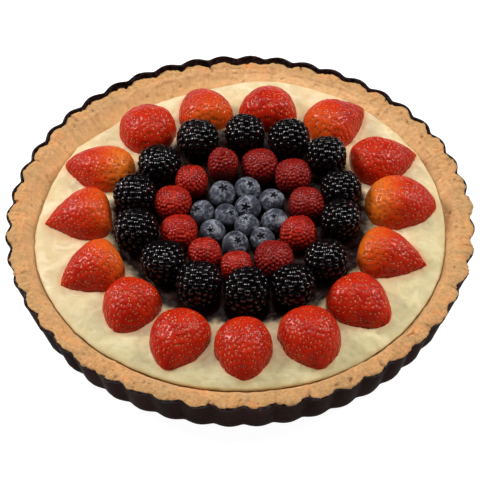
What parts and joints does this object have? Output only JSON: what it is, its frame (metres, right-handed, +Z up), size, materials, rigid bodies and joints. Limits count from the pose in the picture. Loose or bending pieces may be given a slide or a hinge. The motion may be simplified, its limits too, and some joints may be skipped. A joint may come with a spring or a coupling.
{
  "type": "tart pan",
  "caption": "Round fluted tart pan with a loose flat bottom, holding a baked pastry shell filled with custard and topped with rings of fruit.",
  "frame": {"origin": "on the table, under the middle of the pan", "axes": "+Z up along the pan's axis, -Y towards the side seen from the front, +X to the right"},
  "size_m": [0.2496, 0.2496, 0.047],
  "materials": {
    "pan": "dark purplish-brown non-stick coating on steel sheet, satin",
    "pastry": "baked shortcrust pastry, golden tan, matt and crumbly",
    "custard": "pale yellow pastry cream, smooth with spatula marks, faint sheen",
    "strawberry": "ripe red strawberry skin, glossy, orange towards the stalk end",
    "bramble": "near-black drupelets, glossy",
    "raspberry": "deep pink-red drupelets with a soft bloom",
    "blueberry": "dark blue skin under a dusty grey bloom"
  },
  "bodies": {
    "ring": {"fluted_ring": "pan"},
    "base": {"loose_base": "pan"},
    "tart": {"pastry_crust": "pastry", "custard_filling": "custard", "strawberry_01": "strawberry", "strawberry_02": "strawberry", "strawberry_03": "strawberry", "strawberry_04": "strawberry", "strawberry_05": "strawberry", "strawberry_06": "strawberry", "strawberry_07": "strawberry", "strawberry_08": "strawberry", "strawberry_09": "strawberry", "strawberry_10": "strawberry", "strawberry_11": "strawberry", "strawberry_12": "strawberry", "strawberry_13": "strawberry", "strawberry_14": "strawberry", "strawberry_15": "strawberry", "bramble_01": "bramble", "bramble_02": "bramble", "bramble_03": "bramble", "bramble_04": "bramble", "bramble_05": "bramble", "bramble_06": "bramble", "bramble_07": "bramble", "bramble_08": "bramble", "bramble_09": "bramble", "bramble_10": "bramble", "bramble_11": "bramble", "bramble_12": "bramble", "bramble_13": "bramble", "bramble_14": "bramble", "raspberry_01": "raspberry", "raspberry_02": "raspberry", "raspberry_03": "raspberry", "raspberry_04": "raspberry", "raspberry_05": "raspberry", "raspberry_06": "raspberry", "raspberry_07": "raspberry", "raspberry_08": "raspberry", "raspberry_09": "raspberry", "raspberry_10": "raspberry", "raspberry_11": "raspberry", "blueberry_01": "blueberry", "blueberry_02": "blueberry", "blueberry_03": "blueberry", "blueberry_04": "blueberry", "blueberry_05": "blueberry", "blueberry_06": "blueberry", "blueberry_07": "blueberry", "blueberry_08": "blueberry", "blueberry_09": "blueberry", "blueberry_10": "blueberry", "blueberry_11": "blueberry"}
  },
  "joints": [
    {"name": "base_lift", "type": "slide", "parent": "ring", "child": "base", "axis": [0, 0, 1], "range_m": [0, 0.05]},
    {"name": "tart_lift", "type": "slide", "parent": "base", "child": "tart", "axis": [0, 0, 1], "range_m": [0, 0.03]}
  ]
}
